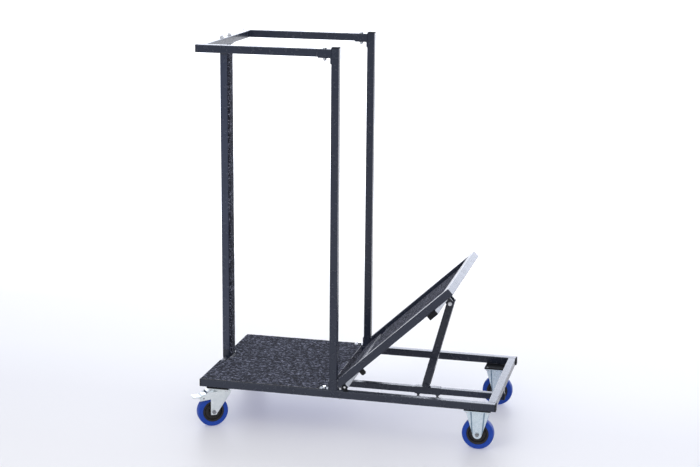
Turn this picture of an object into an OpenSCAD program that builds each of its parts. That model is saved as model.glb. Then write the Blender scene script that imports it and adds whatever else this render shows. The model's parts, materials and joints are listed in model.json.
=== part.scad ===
// Trolley for stacking chairs: a square-tube base on four casters, a carpeted
// deck under a goal-shaped upright frame, and a carpeted tray that tilts up on
// a strut whose foot slides along a rail under the base.
// The X axis runs along the base, from the deck to the open end. Z is up.

/* [Base frame] */
// Length of the base's tubes along X, without their end caps
base_l = 1178; // [1160:2:1200]
// Width of the base along Y
base_w = 628; // [610:2:680]
// Side of the square frame tube
tube = 30; // [28:1:32]
// Wall of the frame tubes
wall = 2; // [1.5:0.5:3]
// Outer corner radius of the tubes
tube_r = 3; // [2:0.5:4]
// Height of the rails' underside above the floor
rail_z = 168; // [168:1:176]

/* [Deck] */
// X of the deck's open edge
deck_x = 520; // [515:1:525]
// Thickness of the deck's steel sheet
sheet_t = 1.5; // [1:0.5:2]
// Thickness of the carpet
carpet_t = 3; // [2:0.5:4]

/* [Uprights] */
// X of the side posts' left face
post_x = 527; // [527:1:535]
// Height of the side posts, caps included
post_top = 1534; // [1400:2:1600]
// Height of the top frame's upper face
top_z = 1527; // [1393:2:1593]
// Width of the back post along Y
back_w = 60; // [50:2:60]
// Thickness of the pad on the back post
pad_t = 9; // [6:1:12]

/* [Tray] */
// Slope of the tray at rest, in degrees
tray_a = 43; // [42:0.5:43.5]
// X of the tray's hinge axis
hinge_x = 589.1; // [588.5:0.1:592]
// Z of the tray's hinge axis
hinge_z = 215.2; // [215:0.1:217]
// Length of the tray along its slope
tray_l = 612; // [600:2:615]
// Outer width of the tray
tray_w = 624; // [618:2:624]
// Depth of the carpet below the tray's rim
recess = 14; // [12:1:16]
// Length of the tray's carpeted panel
panel_l = 533; // [500:1:536]
// Length of the carpet on the tray's panel
tray_carpet_l = 475; // [440:5:475]

/* [Strut and slider] */
// Side of the strut tube
strut_w = 30; // [30:1:30]
// Side of the slider rail
slide_w = 25; // [25:1:25]
// Z of the slider rail's centre line
slide_z = 126.5; // [125:0.5:127]
// X of the strut's foot at rest
foot_x = 855.2; // [850:0.1:860]
// Z of the strut's foot
foot_z = 152; // [151:0.5:153]
// X of the strut's upper pivot at rest
head_x = 947.2; // [945:0.1:949]
// Z of the strut's upper pivot at rest
head_z = 500.5; // [499:0.5:501]
// Length of the sliding sleeve
sleeve_l = 104; // [90:2:110]

/* [Casters] */
// Wheel diameter
wheel_d = 125; // [120:1:125]
// Tyre width
tyre_w = 38; // [34:1:39]
// X of the swivel axes
swivel_x = 70; // [68:1:74]
// X of the fixed axles
fixed_x = 1110; // [1100:1:1112]
// Distance of each caster's centre from the base's outer face
caster_in = 50; // [50:1:55]
// Offset of the axle from the swivel axis
trail = 38; // [36:1:40]
// Turn of the swivel forks at rest, in degrees
yaw = 35; // [0:1:40]

/* [Hidden] */
$fn = 64;

// colours
paint = "#3e414c";
black = "#17181a";
fleece = "#3a3b3f";
zinc = "#d3dfe2";
silver = "#c9ccd2";
blue = "#1f47a6";

// derived heights and places
mid_y = base_w / 2;
rail_top = rail_z + tube;
deck_z = rail_top + sheet_t + carpet_t;
cap_t = 4;
bar_z = top_z - tube;
wheel_r = wheel_d / 2;
axle_z = wheel_r;
plate_t = 6;
caster_top = rail_z - plate_t;
cplate_t = 3;
leg_in = 22;
leg_t = 3;
axle_d = 12;
fit = 0.05;
pedal_tip = 121;
pedal_hw = 20;
pin_x = 80;
pin_z = 124;
x_low = swivel_x - pedal_tip * cos(yaw) - pedal_hw * sin(yaw);
x_mid = (base_l + cap_t + x_low) / 2;
// hinge in tray coordinates: distance from the top end, depth below the rim
hinge_s = tray_l - 31.3;
hinge_p = -40;
hinge_gap = 6.4;
hinge_d = 8;
ct_w = 40;
ct_t = 20;
tray_y0 = (base_w - tray_w) / 2;
strut_len = sqrt(pow(head_x - foot_x, 2) + pow(head_z - foot_z, 2));
strut_a = atan2(head_x - foot_x, head_z - foot_z);
fork_cut = 73;
foot_bolt = 22;
foot_bolt2 = 13;
top_bolt = 28;
panel_out = 1.6;

// whole model placed with its box centred over the origin
module place() { translate([-x_mid, -mid_y, 0]) children(); }

// square or rectangular outline with rounded corners
module round_rect(a, b, r) {
  union() {
    translate([r, 0]) square([a - 2 * r, b]);
    translate([0, r]) square([a, b - 2 * r]);
    for (x = [r, a - r], y = [r, b - r]) translate([x, y]) circle(r = r, $fn = 32);
  }
}
module tube_outline(a, b, w = wall, r = tube_r) {
  difference() {
    round_rect(a, b, r);
    translate([w, w]) round_rect(a - 2 * w, b - 2 * w, max(r - w, 0.6));
  }
}
// tubes from their lowest corner, along Z, X and Y
module tube_z(l, a, b, w = wall, r = tube_r) { linear_extrude(l) tube_outline(a, b, w, r); }
module tube_x(l, a, b, w = wall, r = tube_r) {
  translate([0, a, 0]) rotate([90, 0, 90]) mirror([1, 0, 0]) linear_extrude(l) tube_outline(a, b, w, r);
}
module tube_y(l, a, b, w = wall, r = tube_r) {
  translate([0, l, 0]) rotate([90, 0, 0]) linear_extrude(l) tube_outline(a, b, w, r);
}
// plastic end cap: a flange and a plug that fills the tube's mouth
module cap(a, b, depth = 12) {
  union() {
    linear_extrude(cap_t) round_rect(a, b, tube_r);
    translate([wall + 0.2, wall + 0.2, -depth]) cube([a - 2 * wall - 0.4, b - 2 * wall - 0.4, depth]);
  }
}
// hexagon bolt pointing down, from the underside of its head at z = 0
module bolt_down(len, d = 8, nut = true) {
  union() {
    cylinder(d = 2 * d, h = 1.4);
    translate([0, 0, 1.4]) cylinder(d = 1.88 * d, h = 0.8 * d, $fn = 6);
    translate([0, 0, -len - (nut ? 0.9 * d : 0)]) cylinder(d = d, h = len + (nut ? 0.9 * d : 0) + 1);
    if (nut) translate([0, 0, -len - 0.8 * d]) cylinder(d = 1.88 * d, h = 0.8 * d, $fn = 6);
  }
}
// the same with its head below and its thread end standing out of the nut above
module bolt_up(len, d = 8) {
  union() {
    cylinder(d = 2 * d, h = 1.4);
    translate([0, 0, 1.4]) cylinder(d = 1.88 * d, h = 0.8 * d, $fn = 6);
    translate([0, 0, -len - 1]) cylinder(d = d, h = len + 0.8 * d + 6.4);
    translate([0, 0, -len - 0.65 * d]) cylinder(d = 1.88 * d, h = 0.65 * d, $fn = 6);
  }
}
module hole_z(x, y, z0, z1, d = 8.2) { translate([x, y, z0]) cylinder(d = d, h = z1 - z0); }

// places of the bolts
foot_xy = [[post_x - foot_bolt, tube / 2], [post_x + tube + foot_bolt2, tube / 2],
           [post_x - foot_bolt, base_w - tube / 2], [post_x + tube + foot_bolt2, base_w - tube / 2]];
back_xy = [[tube / 2, mid_y - back_w / 2 - foot_bolt], [tube / 2, mid_y + back_w / 2 + foot_bolt]];
bar_xy = [[post_x - top_bolt, tube / 2], [post_x - top_bolt, base_w - tube / 2]];
cross_xy = [for (s = [-1, 1]) [tube / 2, mid_y + s * (back_w / 2 + 18)]];

// ---------- base ----------
module rail_body() {
  difference() {
    translate([0, 0, rail_z]) tube_x(base_l, tube, tube);
    for (p = foot_xy) hole_z(p[0], p[1] > mid_y ? p[1] - base_w + tube : p[1], rail_z - 1, rail_top + 1);
  }
}
module side_rail_near() { color(paint) place() rail_body(); }
module side_rail_far() { color(paint) place() translate([0, base_w - tube, 0]) rail_body(); }
module cross_rail(x) { translate([x, tube, rail_z]) tube_y(base_w - 2 * tube, tube, tube); }
module end_cross_rail() { color(paint) place() cross_rail(base_l - tube); }
module rear_cross_rail() {
  color(paint) place() difference() {
    cross_rail(0);
    for (p = back_xy) hole_z(p[0], p[1], rail_z - 1, rail_top + 1);
  }
}
module deck_cross_rail() { color(paint) place() cross_rail(250); }
module mid_cross_rail() { color(paint) place() cross_rail(deck_x - 2 - tube); }
slide_x0 = deck_x - 30;
slide_x1 = base_l - 2;
module slider_rail() {
  color(paint) place() translate([slide_x0 + cap_t, mid_y - slide_w / 2, slide_z - slide_w / 2])
    tube_x(slide_x1 - slide_x0 - 2 * cap_t, slide_w, slide_w, wall, 2);
}
module rail_hangers() {
  color(paint) place() for (x = [slide_x0 + 3, slide_x1 - slide_w - 3])
    translate([x, mid_y - slide_w / 2, slide_z + slide_w / 2])
      tube_z(rail_z - slide_z - slide_w / 2, slide_w, slide_w, wall, 2);
}
module tube_end_caps() {
  color(black) place() {
    for (y = [0, base_w - tube]) {
      translate([base_l, y, rail_z]) rotate([90, 0, 90]) cap(tube, tube);
      translate([0, y + tube, rail_z]) rotate([90, 0, -90]) cap(tube, tube);
      translate([0, y + tube, bar_z]) rotate([90, 0, -90]) cap(tube, tube);
      translate([post_x, y, post_top - cap_t]) cap(tube, tube);
    }
    translate([slide_x1 - cap_t, mid_y - slide_w / 2, slide_z - slide_w / 2]) rotate([90, 0, 90]) cap(slide_w, slide_w);
    translate([slide_x0 + cap_t, mid_y + slide_w / 2, slide_z - slide_w / 2]) rotate([90, 0, -90]) cap(slide_w, slide_w);
  }
}
// deck outline with notches round the posts' feet
module deck_outline(inset = 0, back = 0) {
  difference() {
    translate([inset, inset]) square([deck_x - back - inset, base_w - 2 * inset]);
    translate([-1, mid_y - back_w / 2 - 44]) square([41, back_w + 88]);
    for (y = [-1, base_w - tube - 2]) translate([post_x - 44, y]) square([60, tube + 3]);
  }
}
module deck_plate() { color(paint) place() translate([0, 0, rail_top]) linear_extrude(sheet_t) deck_outline(0.5, 2); }
// the carpet turns down over the cross rail at the deck's open edge
module deck_carpet() {
  color(fleece) place() union() {
    translate([0, 0, rail_top + sheet_t]) linear_extrude(carpet_t) deck_outline();
    translate([deck_x - 2, tube + 3, rail_z - 12]) cube([2, base_w - 2 * tube - 6, rail_top + sheet_t + 1 - rail_z + 12]);
  }
}

// ---------- uprights ----------
module side_post() { translate([post_x, 0, rail_top]) tube_z(post_top - cap_t - rail_top, tube, tube); }
module post_near() { color(paint) place() side_post(); }
module post_far() { color(paint) place() translate([0, base_w - tube, 0]) side_post(); }
module back_post() {
  color(paint) place() translate([0, mid_y - back_w / 2, rail_top]) tube_z(bar_z - rail_top, tube, back_w);
}
module back_pad() {
  color(fleece) place() translate([tube, mid_y - back_w / 2 + 3, deck_z + 3]) cube([pad_t, back_w - 6, bar_z - 7 - deck_z - 3]);
}
module top_bar() {
  difference() {
    translate([0, 0, bar_z]) tube_x(post_x, tube, tube);
    hole_z(post_x - top_bolt, tube / 2, bar_z - 1, top_z + 1);
  }
}
module top_bar_near() { color(paint) place() top_bar(); }
module top_bar_far() { color(paint) place() translate([0, base_w - tube, 0]) top_bar(); }
module top_cross_bar() {
  color(paint) place() difference() {
    translate([0, tube, bar_z]) tube_y(base_w - 2 * tube, tube, tube);
    for (p = cross_xy) hole_z(p[0], p[1], bar_z - 1, top_z + 1);
  }
}
// angle bracket: foot along +X, web up +Z, from the corner, with one bolt hole
module angle_bracket(foot, web, hole, w = 26, t = 4) {
  difference() {
    translate([0, -w / 2, 0]) union() {
      cube([foot, w, t]);
      cube([t, w, web]);
    }
    translate([hole, 0, -1]) cylinder(d = 8.2, h = t + 2);
  }
}
module angle_brackets() {
  color(paint) place() {
    for (y = [tube / 2, base_w - tube / 2]) {
      translate([post_x + tube, y, rail_top]) angle_bracket(26, 38, foot_bolt2);
      translate([post_x, y, rail_top]) mirror([1, 0, 0]) angle_bracket(40, 38, foot_bolt);
      translate([post_x, y, bar_z]) mirror([1, 0, 0]) mirror([0, 0, 1]) angle_bracket(52, 25, top_bolt);
    }
    for (s = [-1, 1]) {
      translate([tube / 2, mid_y + s * back_w / 2, rail_top]) rotate([0, 0, s * 90]) angle_bracket(40, 38, foot_bolt);
      translate([tube / 2, mid_y + s * back_w / 2, bar_z]) rotate([0, 0, s * 90]) mirror([0, 0, 1]) angle_bracket(36, 36, 18);
    }
  }
}
module frame_bolts() {
  color(silver) place() {
    for (p = concat(foot_xy, back_xy)) translate([p[0], p[1], rail_top + 4]) bolt_down(tube + 4);
    for (p = cross_xy) translate([p[0], p[1], top_z]) bolt_up(tube + 4);
    for (p = bar_xy) translate([p[0], p[1], bar_z - 4]) mirror([0, 0, 1]) bolt_up(tube + 4);
  }
}

// ---------- tray hinge on the base ----------
// upright plates on the rails' tops that carry the pins, low enough for the tray's tubes to pass over them
module hinge_plate() {
  rotate([90, 0, 0]) linear_extrude(4) difference() {
    union() {
      polygon([[hinge_x - 4, rail_top], [hinge_x + 15, rail_top], [hinge_x + 9.5, hinge_z],
               [hinge_x - 9.5, hinge_z], [hinge_x - 9.5, hinge_z - 6], [hinge_x - 4, hinge_z - 11]]);
      translate([hinge_x, hinge_z]) circle(r = 9.5);
    }
    translate([hinge_x, hinge_z]) circle(d = hinge_d + 2 * fit);
  }
}
module hinge_plates() {
  color(black) place() {
    translate([0, 6, 0]) hinge_plate();
    translate([0, base_w - 2, 0]) hinge_plate();
  }
}
module hinge_pins() {
  color(silver) place() for (y = [2, base_w - 26])
    translate([hinge_x, y, hinge_z]) rotate([-90, 0, 0]) cylinder(d = hinge_d, h = 24);
}

// ---------- casters ----------
caster_y = [caster_in, base_w - caster_in];
// plate sizes and bolt places along X and Y: swivel casters, then fixed ones
plate_xy = [[90, 100], [104, 90]];
bolt_xy = [[34, 40], [40, 35]];
caster_x = [swivel_x, fixed_x];
module caster_holes(k, d, z0, z1) {
  for (i = [-1, 1], j = [-1, 1]) hole_z(i * bolt_xy[k][0], j * bolt_xy[k][1], z0, z1, d);
}
module caster_mount_plates() {
  color(black) place() for (y = caster_y, k = [0, 1]) translate([caster_x[k], y, 0]) difference() {
    translate([-plate_xy[k][0] / 2, -plate_xy[k][1] / 2, caster_top]) cube([plate_xy[k][0], plate_xy[k][1], plate_t]);
    caster_holes(k, 8.2, caster_top - 1, rail_z + 1);
  }
}
module caster_bolts() {
  color(silver) place() for (y = caster_y, k = [0, 1], i = [-1, 1], j = [-1, 1])
    translate([caster_x[k] + i * bolt_xy[k][0], y + j * bolt_xy[k][1], caster_top - cplate_t]) union() {
      translate([0, 0, -5]) cylinder(d = 15, h = 5, $fn = 6);
      translate([0, 0, -1]) cylinder(d = 8, h = cplate_t + plate_t + 0.6);
    }
}
module top_plate(k) {
  difference() {
    translate([-plate_xy[k][0] / 2 + 2, -plate_xy[k][1] / 2 + 2, caster_top - cplate_t])
      cube([plate_xy[k][0] - 4, plate_xy[k][1] - 4, cplate_t]);
    caster_holes(k, 8.2, caster_top - cplate_t - 1, caster_top + 1);
  }
}
// point where the line from p touches a circle, on the side given by s
function touch(p, c, r, s) =
  let (d = norm(p - c), a = atan2(p[1] - c[1], p[0] - c[0]), b = acos(r / d))
  [c[0] + r * cos(a + s * b), c[1] + r * sin(a + s * b)];
// cheek outline: wide at the top, drawn in to a round foot at the axle
module fixed_cheek(hw, top, r) {
  c = [0, axle_z];
  union() {
    polygon([[-hw, top], [hw, top], touch([hw, top - 4], c, r, -1), touch([-hw, top - 4], c, r, 1)]);
    translate(c) circle(r = r);
  }
}
module fixed_fork(y) {
  ztop = caster_top - cplate_t;
  translate([fixed_x, y, 0]) difference() {
    union() {
      top_plate(1);
      for (s = [0, 1]) mirror([0, s, 0]) translate([0, leg_in + leg_t, 0]) {
        rotate([90, 0, 0]) linear_extrude(leg_t) fixed_cheek(48, ztop, 17.5);
        // raised middle panel, almost straight down to its round foot
        translate([0, panel_out, 0]) rotate([90, 0, 0]) linear_extrude(panel_out) union() {
          polygon([[-23.5, ztop], [23.5, ztop], touch([23.5, ztop - 4], [0, axle_z], 16.8, -1), touch([-23.5, ztop - 4], [0, axle_z], 16.8, 1)]);
          translate([0, axle_z]) circle(r = 16.8);
        }
      }
    }
    translate([0, 40, axle_z]) rotate([90, 0, 0]) cylinder(d = axle_d + 2 * fit, h = 80);
  }
}
module fixed_fork_near() { color(zinc) place() fixed_fork(caster_y[0]); }
module fixed_fork_far() { color(zinc) place() fixed_fork(caster_y[1]); }
// axle bolt along Y with a head on either side of a fork whose cheeks are o thicker
module axle_bolt(o) {
  face = leg_in + leg_t + o;
  rotate([-90, 0, 0]) union() {
    translate([0, 0, -face - 1]) cylinder(d = axle_d, h = 2 * face + 2);
    translate([0, 0, -face - 5]) cylinder(d = 17, h = 5, $fn = 6);
    translate([0, 0, face]) cylinder(d = 17, h = 5, $fn = 6);
  }
}
module fixed_axles() {
  color(silver) place() for (y = caster_y) translate([fixed_x, y, axle_z]) axle_bolt(panel_out);
}
module swivel_top_plates() {
  color(zinc) place() for (y = caster_y) translate([swivel_x, y, 0]) union() {
    top_plate(0);
    translate([0, 0, caster_top - cplate_t - 6]) cylinder(d = 66, h = 6);
    translate([0, 0, 136]) cylinder(d = axle_d, h = caster_top - cplate_t - 137);
    translate([0, 0, 134]) cylinder(d = 21, h = 8.5, $fn = 6);
  }
}
// moving caster parts: local x points from the swivel axis to the axle
module swivel(k) {
  translate([swivel_x, caster_y[k], 0]) rotate([0, 0, 180 + (k == 0 ? yaw : -yaw)]) children();
}
module swivel_cheek() {
  union() {
    polygon([[-33, 146], [62, 146], [96, 122], [96, 113], [trail + 13, 117], [trail + 13, axle_z - 8],
             [trail + 9, axle_z - 12], [trail - 8, axle_z - 12], [trail - 12, axle_z - 8], [-33, 139]]);
    for (x = [trail - 8, trail + 9]) translate([x, axle_z - 8]) circle(r = 4);
  }
}
module swivel_fork(k) {
  swivel(k) difference() {
    union() {
      translate([-33, -leg_in - leg_t, 143]) cube([95, 2 * (leg_in + leg_t), 3]);
      translate([0, 0, 145]) cylinder(d = 64, h = 7.5);
      for (s = [0, 1]) mirror([0, s, 0]) translate([0, leg_in + leg_t, 0])
        rotate([90, 0, 0]) linear_extrude(leg_t) swivel_cheek();
    }
    translate([0, 0, 140]) cylinder(d = axle_d + 2 * fit, h = 20);
    translate([trail, 40, axle_z]) rotate([90, 0, 0]) cylinder(d = axle_d + 2 * fit, h = 80);
    translate([pin_x, 40, pin_z]) rotate([90, 0, 0]) cylinder(d = 6 + 2 * fit, h = 80);
  }
}
module swivel_fork_near() { color(zinc) place() swivel_fork(0); }
module swivel_fork_far() { color(zinc) place() swivel_fork(1); }
module swivel_axle(k) {
  swivel(k) {
    translate([trail, 0, axle_z]) axle_bolt(0);
    translate([pin_x, leg_in + leg_t + 2, pin_z]) rotate([90, 0, 0]) cylinder(d = 6, h = 2 * (leg_in + leg_t + 2));
  }
}
module swivel_axle_near() { color(silver) place() swivel_axle(0); }
module swivel_axle_far() { color(silver) place() swivel_axle(1); }
// foot lever: a stepped tread and a raised back on a hub round the lever's pin
module brake_pedal(k) {
  swivel(k) difference() {
    union() {
      translate([0, pedal_hw, 0]) rotate([90, 0, 0]) linear_extrude(2 * pedal_hw) union() {
        polygon([[pin_x - 14, 122], [pin_x + 16, 122.5], [pin_x + 24, 125.5], [pedal_tip, 126], [pedal_tip, 130.5],
                 [pin_x + 28, 131.5], [pin_x + 25, 130.2], [pin_x + 12, 130.6], [pin_x + 3, 135.5], [pin_x - 14, 138.5]]);
        translate([pin_x, pin_z]) circle(r = 7);
      }
    }
    translate([pin_x, 40, pin_z]) rotate([90, 0, 0]) cylinder(d = 6 + 2 * fit, h = 80);
  }
}
module brake_pedal_near() { color(zinc) place() brake_pedal(0); }
module brake_pedal_far() { color(zinc) place() brake_pedal(1); }
// wheel parts about the Y axis
module rim() {
  rotate([90, 0, 0]) rotate_extrude($fn = 96) polygon([
    [axle_d / 2 + fit, -leg_in + 0.5], [17, -leg_in + 0.5], [17, -8], [35, -6], [37, -16.5], [43.4, -16.5],
    [43.4, 16.5], [37, 16.5], [35, 6], [17, 8], [17, leg_in - 0.5], [axle_d / 2 + fit, leg_in - 0.5]]);
}
module tyre() {
  rotate([90, 0, 0]) rotate_extrude($fn = 96) union() {
    translate([43.45, -tyre_w / 2]) square([wheel_r - 7 - 43.45, tyre_w]);
    translate([43.45, -tyre_w / 2 + 7]) square([wheel_r - 43.45, tyre_w - 14]);
    for (z = [-1, 1]) translate([wheel_r - 7, z * (tyre_w / 2 - 7)]) circle(r = 7);
  }
}
module rim_swivel_near() { color(black) place() swivel(0) translate([trail, 0, axle_z]) rim(); }
module tyre_swivel_near() { color(blue) place() swivel(0) translate([trail, 0, axle_z]) tyre(); }
module rim_swivel_far() { color(black) place() swivel(1) translate([trail, 0, axle_z]) rim(); }
module tyre_swivel_far() { color(blue) place() swivel(1) translate([trail, 0, axle_z]) tyre(); }
module rim_fixed_near() { color(black) place() translate([fixed_x, caster_y[0], axle_z]) rim(); }
module tyre_fixed_near() { color(blue) place() translate([fixed_x, caster_y[0], axle_z]) tyre(); }
module rim_fixed_far() { color(black) place() translate([fixed_x, caster_y[1], axle_z]) rim(); }
module tyre_fixed_far() { color(blue) place() translate([fixed_x, caster_y[1], axle_z]) tyre(); }

// ---------- tray ----------
// tray coordinates: x up the slope from the lower end, y across, z out of the
// carpet, with z = 0 on the rim's upper face
module tray() {
  translate([hinge_x, 0, hinge_z]) rotate([0, -tray_a, 0]) translate([-(tray_l - hinge_s), 0, -hinge_p]) children();
}
// side tube with a mitred upper end; the lower end is cut upright to pass the post and level above the rail
module tray_side() {
  difference() {
    tray() difference() {
      translate([0, tray_y0, -tube]) tube_x(tray_l, tube, tube);
      translate([tray_l, tray_y0, -tube - 1]) rotate([0, 0, 45]) translate([0, -100, 0]) cube([200, 200, tube + 2]);
    }
    translate([post_x + tube - 194.5, tray_y0 - 1, 0]) cube([200, tube + 2, 400]);
    translate([post_x, tray_y0 - 1, hinge_z - 101.2]) cube([100, tube + 2, 100]);
  }
}
module tray_side_near() { color(paint) place() tray_side(); }
module tray_side_far() { color(paint) place() translate([0, base_w, 0]) mirror([0, 1, 0]) tray_side(); }
module tray_top_bar() {
  color(paint) place() tray() difference() {
    translate([tray_l - tube, tray_y0, -tube]) tube_y(tray_w, tube, tube);
    translate([tray_l, tray_y0, -tube - 1]) rotate([0, 0, 45]) translate([-200, -100, 0]) cube([200, 200, tube + 2]);
    translate([tray_l, base_w - tray_y0, -tube - 1]) rotate([0, 0, -45]) translate([-200, -100, 0]) cube([200, 200, tube + 2]);
  }
}
panel_x = tray_l - tube - panel_l;
module tray_panel() {
  color(paint) place() tray() translate([panel_x, tray_y0 + tube + 0.3, -recess - carpet_t - 3])
    cube([panel_l - 0.3, tray_w - 2 * tube - 0.6, 2]);
}
module tray_carpet() {
  color(fleece) place() tray() translate([tray_l - tube - tray_carpet_l, tray_y0 + tube + 0.3, -recess - carpet_t - 1])
    cube([tray_carpet_l - 0.3, tray_w - 2 * tube - 0.6, carpet_t + 1]);
}
upper_ct = tray_l - 134;
lower_ct = tray_l - hinge_s - ct_t / 2;
module tray_cross_tube_upper() {
  color(paint) place() tray() translate([upper_ct, tray_y0, -tube - ct_t]) tube_y(tray_w, ct_w, ct_t, wall, 2.5);
}
// the lower cross tube is square and turns on the hinge pins
module tray_cross_tube_lower() {
  color(paint) place() tray() translate([lower_ct, hinge_gap, -tube - ct_t]) tube_y(base_w - 2 * hinge_gap, ct_t, ct_t, wall, 2.5);
}
// end caps: the upper pair stand proud, the lower pair are plugs bored for the hinge pins
module upper_cap() {
  union() {
    rotate([90, 0, 0]) linear_extrude(3) round_rect(ct_w, ct_t, 2.5);
    translate([wall + 0.1, 0, wall + 0.1]) cube([ct_w - 2 * wall - 0.2, 12, ct_t - 2 * wall - 0.2]);
  }
}
module lower_plug() {
  difference() {
    translate([wall + 0.1, 0, wall + 0.1]) cube([ct_t - 2 * wall - 0.2, 22, ct_t - 2 * wall - 0.2]);
    translate([ct_t / 2, 30, ct_t / 2]) rotate([90, 0, 0]) cylinder(d = hinge_d + 2 * fit, h = 50);
  }
}
module cross_tube_caps() {
  color(black) place() tray() {
    translate([upper_ct, tray_y0, -tube - ct_t]) upper_cap();
    translate([upper_ct, base_w - tray_y0, -tube - ct_t]) mirror([0, 1, 0]) upper_cap();
    translate([lower_ct, hinge_gap, -tube - ct_t]) lower_plug();
    translate([lower_ct, base_w - hinge_gap, -tube - ct_t]) mirror([0, 1, 0]) lower_plug();
  }
}
module rubber_buffers() {
  color(black) place() tray() for (y = [tray_y0 + tube / 2, base_w - tray_y0 - tube / 2])
    translate([tray_l - 487, y, -tube]) rotate([180, 0, 0]) union() {
      cylinder(d = 21, h = 17);
      translate([0, 0, 17]) cylinder(d = 16, h = 4);
    }
}
// lug of two plates under the upper cross tube that holds the strut's head
module strut_pivot() { translate([head_x, mid_y, head_z]) rotate([0, -tray_a, 0]) children(); }
lug_up = -sin(tray_a) * (hinge_x - head_x) + cos(tray_a) * (hinge_z - head_z) - hinge_p - tube - ct_t - 0.02;
module strut_lug() {
  color(paint) place() strut_pivot() for (s = [-1, 1]) translate([0, s * (strut_w / 2 + 0.3), 0])
    rotate([90, 0, 0]) mirror([0, 0, s > 0 ? 1 : 0]) linear_extrude(5) difference() {
      union() {
        translate([-13, 0]) square([29, lug_up]);
        circle(r = 13);
      }
      circle(d = 8 + 2 * fit);
    }
}
module strut_bolt() {
  color(silver) place() strut_pivot() translate([0, -strut_w / 2 - 5.3, 0]) rotate([90, 0, 0]) bolt_down(strut_w + 10.6, 8);
}

// ---------- strut ----------
// strut coordinates: origin at the foot pivot, z towards the head
module strut() { translate([foot_x, mid_y, foot_z]) rotate([0, strut_a, 0]) children(); }
module strut_tube() {
  color(paint) place() strut() difference() {
    union() {
      translate([-strut_w / 2, -strut_w / 2, fork_cut]) tube_z(strut_len + 13 - fork_cut, strut_w, strut_w, wall, 2.5);
      translate([0, strut_w / 2 - 1, strut_len]) rotate([90, 0, 0]) cylinder(d = 16, h = strut_w - 2);
    }
    translate([0, 50, strut_len]) rotate([90, 0, 0]) cylinder(d = 8 + 2 * fit, h = 100);
  }
}
// two cheek plates that carry the foot pivots on either side of the sleeve
module strut_fork() {
  color(paint) place() strut() for (s = [0, 1]) mirror([0, s, 0]) translate([0, strut_w / 2, 0]) union() {
    translate([0, 3, 0]) rotate([90, 0, 0]) linear_extrude(3) union() {
      translate([-strut_w / 2, 0]) square([strut_w, fork_cut + 47]);
      circle(d = strut_w);
    }
    rotate([-90, 0, 0]) cylinder(d = 16, h = 9, $fn = 6);
  }
}

// ---------- slider ----------
sl_out = slide_w + 4.4;
sl_in = slide_w + 0.6;
sl_mid = foot_x + 6.3;
sc_x = [sl_mid - 39.5, sl_mid + 39.5];
module slider_sleeve() {
  color(paint) place() difference() {
    union() {
      translate([sl_mid - sleeve_l / 2, mid_y - sl_out / 2, slide_z - sl_out / 2]) tube_x(sleeve_l, sl_out, sl_out, (sl_out - sl_in) / 2, 2);
      translate([foot_x - 9, mid_y - sl_out / 2, slide_z + sl_out / 2 - 0.5]) cube([18, sl_out, foot_z - slide_z - sl_out / 2 + 0.5]);
      translate([foot_x, mid_y + sl_out / 2, foot_z]) rotate([90, 0, 0]) cylinder(r = 9, h = sl_out);
      for (x = sc_x) translate([x, mid_y, slide_z - sl_out / 2 - 6.5]) cylinder(d = 15, h = 7, $fn = 6);
    }
    for (x = sc_x) translate([x, mid_y, slide_z - sl_out / 2 - 10]) cylinder(d = 8 + 2 * fit, h = 10 + (sl_out - sl_in) / 2 + 1);
    translate([foot_x, mid_y + 20, foot_z]) rotate([90, 0, 0]) cylinder(d = 10, h = 40);
  }
}
// clamp screw turned from below, its tip just short of the rail
module clamp_screw(x) {
  tip = slide_z - slide_w / 2 - 0.4;
  translate([x, mid_y, 0]) union() {
    translate([0, 0, tip - 24]) cylinder(d = 8, h = 24);
    translate([0, 0, tip - 24]) cylinder(d = 18, h = 6, $fn = 6);
    translate([0, 0, tip - 18.5]) cylinder(d = 16, h = 2);
  }
}
module clamp_screw_left() { color(black) place() clamp_screw(sc_x[0]); }
module clamp_screw_right() { color(black) place() clamp_screw(sc_x[1]); }

side_rail_near();
side_rail_far();
end_cross_rail();
rear_cross_rail();
deck_cross_rail();
mid_cross_rail();
slider_rail();
rail_hangers();
tube_end_caps();
deck_plate();
deck_carpet();
post_near();
post_far();
back_post();
back_pad();
top_bar_near();
top_bar_far();
top_cross_bar();
angle_brackets();
frame_bolts();
hinge_plates();
hinge_pins();
caster_mount_plates();
caster_bolts();
fixed_fork_near();
fixed_fork_far();
fixed_axles();
swivel_top_plates();
tray_side_near();
tray_side_far();
tray_top_bar();
tray_panel();
tray_carpet();
tray_cross_tube_upper();
tray_cross_tube_lower();
cross_tube_caps();
rubber_buffers();
strut_lug();
strut_bolt();
strut_tube();
strut_fork();
slider_sleeve();
clamp_screw_left();
clamp_screw_right();
swivel_fork_near();
swivel_fork_far();
swivel_axle_near();
swivel_axle_far();
brake_pedal_near();
brake_pedal_far();
rim_swivel_near();
tyre_swivel_near();
rim_swivel_far();
tyre_swivel_far();
rim_fixed_near();
tyre_fixed_near();
rim_fixed_far();
tyre_fixed_far();
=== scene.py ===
import json
import math

import bmesh
import bpy
import numpy as np
from mathutils import Matrix, Vector


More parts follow.
